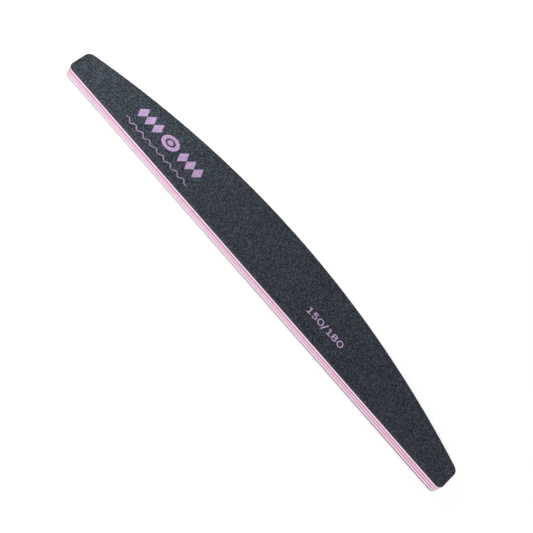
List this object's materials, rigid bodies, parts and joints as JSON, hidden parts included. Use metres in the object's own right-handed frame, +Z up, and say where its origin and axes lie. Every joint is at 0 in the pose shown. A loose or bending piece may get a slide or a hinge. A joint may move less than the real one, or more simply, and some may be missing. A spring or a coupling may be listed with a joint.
{
  "type": "nail file",
  "caption": "Half-moon nail file: a flat laminated board with a straight edge, an arched back, short blunt ends and an abrasive sheet on each face, for shaping fingernails.",
  "frame": {"origin": "middle of the board's length and width, on its lower face", "axes": "+X along the length, +Y from the straight edge towards the arched back, +Z up through the plies towards the coarser face"},
  "size_m": [0.178, 0.028, 0.0037],
  "materials": {
    "black_grit": "fine silicon carbide grains bonded in dark resin, matt with small glints",
    "grey_black_paper": "matt fibrous cut edge",
    "clear_tape": "clear to milky adhesive film",
    "white_foam": "fine closed cells, soft and matt",
    "rose_plastic": "die-cut satin edge",
    "light_pink_plastic": "die-cut satin edge"
  },
  "bodies": {
    "root": {"lower_grit_coat": "black_grit", "lower_backing_paper": "grey_black_paper", "lower_tape": "clear_tape", "lower_foam": "white_foam", "lower_core_skin": "rose_plastic", "core_sheet": "light_pink_plastic", "upper_core_skin": "rose_plastic", "upper_foam": "white_foam", "upper_tape": "clear_tape", "upper_backing_paper": "grey_black_paper", "upper_grit_coat": "black_grit"}
  },
  "joints": []
}
